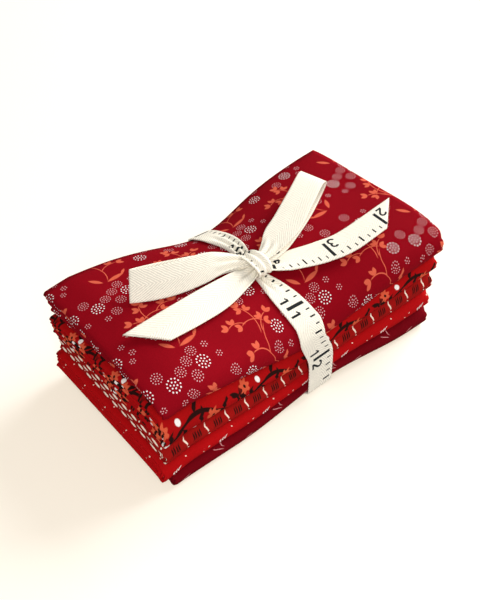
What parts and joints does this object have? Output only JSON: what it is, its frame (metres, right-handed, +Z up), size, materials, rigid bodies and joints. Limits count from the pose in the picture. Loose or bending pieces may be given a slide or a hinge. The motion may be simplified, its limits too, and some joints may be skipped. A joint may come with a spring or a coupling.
{
  "type": "fat quarter bundle",
  "caption": "Stack of folded printed cotton fat quarters, tied round the middle with a bow of printed twill tape.",
  "frame": {"origin": "on the surface that the bundle lies on, under the middle of its bounding box", "axes": "+X along the long side of the stack, +Y across it away from the smooth front folds, +Z up"},
  "size_m": [0.1474, 0.0808, 0.0629],
  "materials": {
    "crimson_sprigs_cotton": "printed plain weave cotton, deep crimson",
    "red_berries_cotton": "printed plain weave cotton, bright red",
    "brick_hatch_cotton": "printed plain weave cotton, brick red",
    "red_dashes_cotton": "printed plain weave cotton, bright red",
    "dark_crimson_cotton": "printed plain weave cotton, dark crimson",
    "twill_tape": "natural cotton herringbone twill"
  },
  "bodies": {
    "root": {"packet_1_crimson_sprigs": "crimson_sprigs_cotton", "packet_2_red_berries": "red_berries_cotton", "packet_3_brick_hatch": "brick_hatch_cotton", "packet_4_red_dashes": "red_dashes_cotton", "packet_5_dark_crimson": "dark_crimson_cotton", "tape_tie": "twill_tape"}
  },
  "joints": []
}
